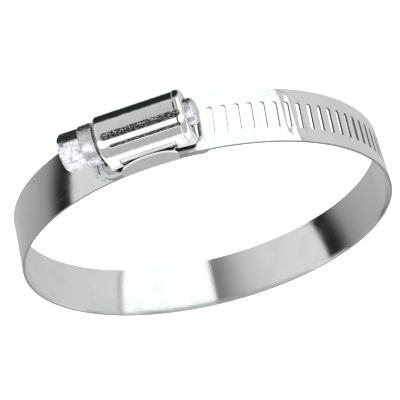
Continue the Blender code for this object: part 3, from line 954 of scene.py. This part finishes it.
def band_steel(grain, handling):
    """Bright rolled band: fine lines along it, faint smudges and a slight roll of the surface."""
    material, t, shader = steel("rolled_band_steel", (0.74, 0.75, 0.75), 0.16)
    place = t.node("ShaderNodeUVMap", uv_map="along_across").outputs[0]
    fine = t.node("ShaderNodeGroup", {"Place": place, "Length": 14.0, "Width": 0.16}, node_tree=grain)
    broad = t.node("ShaderNodeGroup", {"Place": place, "Length": 60.0, "Width": 1.6}, node_tree=grain)
    marks = t.node("ShaderNodeGroup", {"Place": place, "Smudge size": 9.0, "Scratch size": 16.0},
                   node_tree=handling)
    links = t.tree.links
    links.new(tint(t, marks.outputs["Smudge"], (0.74, 0.76, 0.755), (0.69, 0.715, 0.71)),
              shader.inputs["Base Color"])
    rough = t.math("ADD", between(t, fine.outputs[0], 0.05, 0.14),
                   t.math("MULTIPLY", marks.outputs["Smudge"], 0.05))
    links.new(t.math("ADD", rough, t.math("MULTIPLY", marks.outputs["Scratch"], 0.12)),
              shader.inputs["Roughness"])
    speckle = t.node("ShaderNodeTexNoise", {"Vector": place, "Scale": 1.8, "Detail": 2.0}).outputs[0]
    height = t.math("ADD", t.math("MULTIPLY", fine.outputs[0], 0.25), broad.outputs[0])
    height = t.math("ADD", height, speckle)
    links.new(bump(t, height, 0.008 * MM), shader.inputs["Normal"])
    return material


def punched_steel(grain):
    """The walls of the slots: sheared across the thickness, duller than the rolled faces."""
    material, t, shader = steel("punched_slot_edge", (0.5, 0.51, 0.52), 0.4)
    place = t.node("ShaderNodeTexCoord").outputs["Object"]
    scaled = t.node("ShaderNodeVectorMath", {0: place, "Scale": 1 / MM}, operation="SCALE").outputs[0]
    lines = t.node("ShaderNodeGroup", {"Place": scaled, "Length": 0.1, "Width": 0.4}, node_tree=grain)
    links = t.tree.links
    links.new(tint(t, lines.outputs[0], (0.34, 0.34, 0.33), (0.10, 0.11, 0.12)),
              shader.inputs["Base Color"])
    links.new(between(t, lines.outputs[0], 0.3, 0.5), shader.inputs["Roughness"])
    links.new(bump(t, lines.outputs[0], 0.02 * MM), shader.inputs["Normal"])
    return material


def groove_and_crease_shade(t, place):
    """1 where shade is painted into the pressed grooves and along the crease at the rim's start, broken
    up in small specks.
    """
    at = t.node("ShaderNodeSeparateXYZ", {0: place}).outputs
    above = t.math("SUBTRACT", at["Z"], SCREW_HEIGHT)
    around = t.math("ARCTAN2", t.math("MULTIPLY", at["Y"], -1.0), above)
    painted_shade_mask = None
    for middle, start, half_width, _ in GROOVES:
        beside = t.math("MULTIPLY", t.math("SUBTRACT", around, radians(middle)), HOUSING_RADIUS)
        before = t.math("SUBTRACT", start, at["X"])
        beyond = t.math("SUBTRACT", at["X"], RIM_START)
        past = t.math("MAXIMUM", t.math("MAXIMUM", before, beyond), 0.0)
        away = t.math("SQRT", t.math("ADD", t.math("POWER", beside, 2.0), t.math("POWER", past, 2.0)))
        inside = t.node("ShaderNodeMapRange", {"Value": away, "From Min": 1.1 * half_width,
                                               "From Max": 0.9 * half_width}).outputs[0]
        painted_shade_mask = inside if painted_shade_mask is None else t.math("MAXIMUM", painted_shade_mask, inside)
    # Painted shade along the crease at the start of the tip end's raised rim, between two angles round
    # the screw
    off_crease = t.math("ABSOLUTE", t.math("SUBTRACT", at["X"], RIM_START))
    crease = t.math("LESS_THAN", off_crease, CREASE_HALF_WIDTH)
    crease = t.math("MULTIPLY", crease, t.math("GREATER_THAN", around, CREASE_ANGLES[0]))
    crease = t.math("MULTIPLY", crease, t.math("LESS_THAN", around, CREASE_ANGLES[1]))
    painted_shade_mask = t.math("MAXIMUM", painted_shade_mask, crease)
    specks = t.node("ShaderNodeTexNoise", {"Vector": place, "Scale": 3200.0, "Detail": 3.0,
                                           "Roughness": 0.7}).outputs[0]
    kept = t.node("ShaderNodeMapRange", {"Value": specks, "From Min": 0.68, "From Max": 0.52}).outputs[0]
    return t.math("MULTIPLY", painted_shade_mask, kept)


def pressed_steel(grain, handling):
    """Bright pressing: polished, with the slight unevenness that drawing leaves."""
    material, t, shader = steel("pressed_bright_steel", (0.77, 0.78, 0.78), 0.12)
    place = t.node("ShaderNodeTexCoord").outputs["Object"]
    scaled = t.node("ShaderNodeVectorMath", {0: place, "Scale": 1 / MM}, operation="SCALE").outputs[0]
    lines = t.node("ShaderNodeGroup", {"Place": scaled, "Length": 9.0, "Width": 0.22}, node_tree=grain)
    marks = t.node("ShaderNodeGroup", {"Place": scaled, "Smudge size": 3.5, "Scratch size": 5.0},
                   node_tree=handling)
    swell = t.node("ShaderNodeTexNoise", {"Vector": scaled, "Scale": 0.75, "Detail": 2.0}).outputs[0]
    links = t.tree.links
    unshaded = tint(t, marks.outputs["Smudge"], (0.78, 0.79, 0.79), (0.70, 0.71, 0.71))
    # Painted shade: the grooves and the rim's crease are mixed towards a near-black colour, and made
    # rougher there
    painted_shade_mask = groove_and_crease_shade(t, place)
    links.new(mixed(t, painted_shade_mask, unshaded, PAINTED_SHADE_COLOR), shader.inputs["Base Color"])
    rough = t.math("ADD", between(t, lines.outputs[0], 0.05, 0.17),
                   t.math("MULTIPLY", marks.outputs["Scratch"], 0.15))
    rough = t.math("ADD", rough, t.math("MULTIPLY", painted_shade_mask, 0.25))
    links.new(rough, shader.inputs["Roughness"])
    height = t.math("ADD", t.math("MULTIPLY", lines.outputs[0], 0.06), swell)
    links.new(bump(t, height, 0.035 * MM), shader.inputs["Normal"])
    return material


def screw_steel(grain, handling):
    """Zinc-plated screw: turning rings round the axis and a mottled, slightly soft shine."""
    material, t, shader = steel("plated_screw_steel", (0.72, 0.73, 0.75), 0.2)
    place = t.node("ShaderNodeTexCoord").outputs["Object"]
    scaled = t.node("ShaderNodeVectorMath", {0: place, "Scale": 1 / MM}, operation="SCALE").outputs[0]
    rings = t.node("ShaderNodeGroup", {"Place": scaled, "Length": 0.14, "Width": 9.0}, node_tree=grain)
    marks = t.node("ShaderNodeGroup", {"Place": scaled, "Smudge size": 1.6, "Scratch size": 4.0},
                   node_tree=handling)
    links = t.tree.links
    mottled = tint(t, marks.outputs["Smudge"], (0.76, 0.77, 0.79), (0.36, 0.37, 0.40))
    along = t.node("ShaderNodeSeparateXYZ", {0: place}).outputs["X"]
    # Painted shade: the journal in the gap between the collar and the housing's head end is painted
    # near-black
    in_shaded_gap = t.math("MULTIPLY", t.math("GREATER_THAN", along, COLLAR_BACK_X + SHADE_GAP_MARGIN),
                  t.math("LESS_THAN", along, HOUSING_HEAD_END + HOUSING_WALL))
    links.new(mixed(t, in_shaded_gap, mottled, PAINTED_SHADE_COLOR), shader.inputs["Base Color"])
    links.new(between(t, marks.outputs["Smudge"], 0.12, 0.34), shader.inputs["Roughness"])
    dents = t.node("ShaderNodeTexNoise", {"Vector": scaled, "Scale": 1.1, "Detail": 4.0,
                                          "Roughness": 0.6}).outputs[0]
    height = t.math("ADD", t.math("MULTIPLY", rings.outputs[0], 0.1), dents)
    links.new(bump(t, height, 0.22 * MM), shader.inputs["Normal"])
    return material


# ---------------------------------------------------------------- the studio

# Brightness of the studio's soft walls by direction in the X-Z plane, in degrees from +X towards +Z
WALLS = ((-110, 0.53), (-60, 0.72), (-10, 0.80), (10, 0.84), (11, 0.50), (13, 0.50), (15, 1.35),
         (75.5, 1.35), (77, 0.17), (84, 0.32), (98, 0.66), (115, 0.84), (155, 0.90), (157, 0.01),
         (166, 0.02), (171, 0.10), (180, 0.36), (192, 0.46), (212, 0.52), (235, 0.56))
# The same over the front, by the tilt of the direction from +Z towards -Y, in degrees
FRONT = ((-60, 0.66), (8, 0.62), (22, 0.62), (25, 1.5), (60, 1.5), (64, 0.58), (115, 0.58), (121, 1.3))
# Where the dark gap behind lies, by the same tilt
BEHIND = ((-124, 0.0), (-118, 1.0), (-66, 1.0), (-60, 0.0))
GAP_COLOR = (0.02, 0.025, 0.025, 1.0)
WHITE = (1.0, 1.0, 1.0, 1.0)


def ramp_of(t, value, stops, low, high):
    """A grey ramp with stops given in the value's own unit."""
    place = t.node("ShaderNodeMapRange", {"Value": value, "From Min": low, "From Max": high}).outputs[0]
    ramp = t.node("ShaderNodeValToRGB", {"Fac": place})
    elements = ramp.color_ramp.elements
    while len(elements) < len(stops):
        elements.new(0.5)
    for element, (spot, _) in zip(elements, stops):
        element.position = (spot - low) / (high - low)
    for element, (_, level) in zip(elements, stops):
        element.color = (level, level, level, 1.0)
    return ramp.outputs["Color"]


def studio():
    """Soft light from all round: bright walls, one dark gap towards -X and one behind."""
    world = bpy.data.worlds.new("studio")
    bpy.context.scene.world = world
    world.use_nodes = True
    t = Tree(world.node_tree)
    direction = t.node("ShaderNodeTexCoord").outputs["Generated"]
    axis = t.node("ShaderNodeSeparateXYZ", {0: direction}).outputs
    around = t.math("DEGREES", t.math("ARCTAN2", axis["Z"], axis["X"]))
    wrapped = t.math("WRAP", around, 250.0)
    t.tree.nodes[-1].inputs[2].default_value = -110.0
    walls = ramp_of(t, wrapped, WALLS, -110.0, 250.0)
    tilt = t.math("DEGREES", t.math("ARCTAN2", t.math("MULTIPLY", axis["Y"], -1.0), axis["Z"]))
    front = ramp_of(t, tilt, FRONT, -180.0, 180.0)
    towards_front = t.node("ShaderNodeMapRange", {"Value": axis["Y"], "From Min": 0.1, "From Max": -0.35,
                                                  "To Min": 0.0, "To Max": 1.0}).outputs[0]
    light = mixed(t, towards_front, walls, front)
    behind = ramp_of(t, tilt, BEHIND, -180.0, 180.0)
    straight = t.node("ShaderNodeMapRange", {"Value": t.math("ABSOLUTE", axis["X"]),
                                             "From Min": 0.55, "From Max": 0.40}).outputs[0]
    reflected = mixed(t, t.math("MULTIPLY", behind, straight), light, GAP_COLOR)
    shown = mixed(t, t.node("ShaderNodeLightPath").outputs["Is Camera Ray"], reflected, WHITE)
    background = world.node_tree.nodes["Background"]
    world.node_tree.links.new(shown, background.inputs["Color"])


def floor():
    """The plain pale sheet that the clamp stands on."""
    half = 0.25
    height = cad_box[0][2] - 0.6 * MM
    bm = bmesh.new()
    corners = ((-half, -half), (half, -half), (half, half), (-half, half))
    bm.faces.new([bm.verts.new((x, y, height)) for x, y in corners])
    material = bpy.data.materials.new("pale_paper")
    material.use_nodes = True
    t = Tree(material.node_tree)
    shader = material.node_tree.nodes["Principled BSDF"]
    place = t.node("ShaderNodeTexCoord").outputs["Object"]
    fibre = t.node("ShaderNodeTexNoise", {"Vector": place, "Scale": 900.0, "Detail": 3.0}).outputs[0]
    pale = tint(t, fibre, (0.97, 0.97, 0.97), (0.94, 0.94, 0.94))
    material.node_tree.links.new(pale, shader.inputs["Base Color"])
    shader.inputs["Emission Color"].default_value = (1.0, 1.0, 1.0, 1.0)
    shader.inputs["Emission Strength"].default_value = 0.9
    shader.inputs["Roughness"].default_value = 0.9
    shader.inputs["Specular IOR Level"].default_value = 0.1
    sheet = make_piece("paper_sheet", bm, material)
    sheet.visible_glossy = False


def camera():
    """Looks down at the ring from the front right, turned so that the screw slopes across."""
    aim = Vector((1.64, 0.0, 8.63)) * MM
    azimuth, elevation, roll = radians(18.3), radians(63.25), radians(-34.3)
    distance = 331.4 * MM
    back = Vector((sin(azimuth) * cos(elevation), -cos(azimuth) * cos(elevation), sin(elevation)))
    view = bpy.data.objects.new("camera", bpy.data.cameras.new("camera"))
    bpy.context.collection.objects.link(view)
    view.matrix_world = (Matrix.Translation(aim + back * distance)
                         @ back.to_track_quat("Z", "Y").to_matrix().to_4x4()
                         @ Matrix.Rotation(roll, 4, "Z"))
    view.data.lens = 116.87
    bpy.context.scene.camera = view
    bpy.context.scene.view_settings.view_transform = "Standard"


def build():
    camera()
    grain = grain_group()
    handling = handling_group()
    rolled = band_steel(grain, handling)
    punched = punched_steel(grain)
    pressed = pressed_steel(grain, handling)
    plated = screw_steel(grain, handling)
    band_steels = (rolled, punched)
    fixed_end_strip(band_steels)
    for number in range(1, LINK_COUNT):
        bending_strip(number, band_steels)
    last_strip(band_steels)
    slotted_strip(band_steels)
    housing(pressed)
    saddle(pressed)
    screw_body(plated)
    screw_thread(plated)
    studio()
    floor()


build()
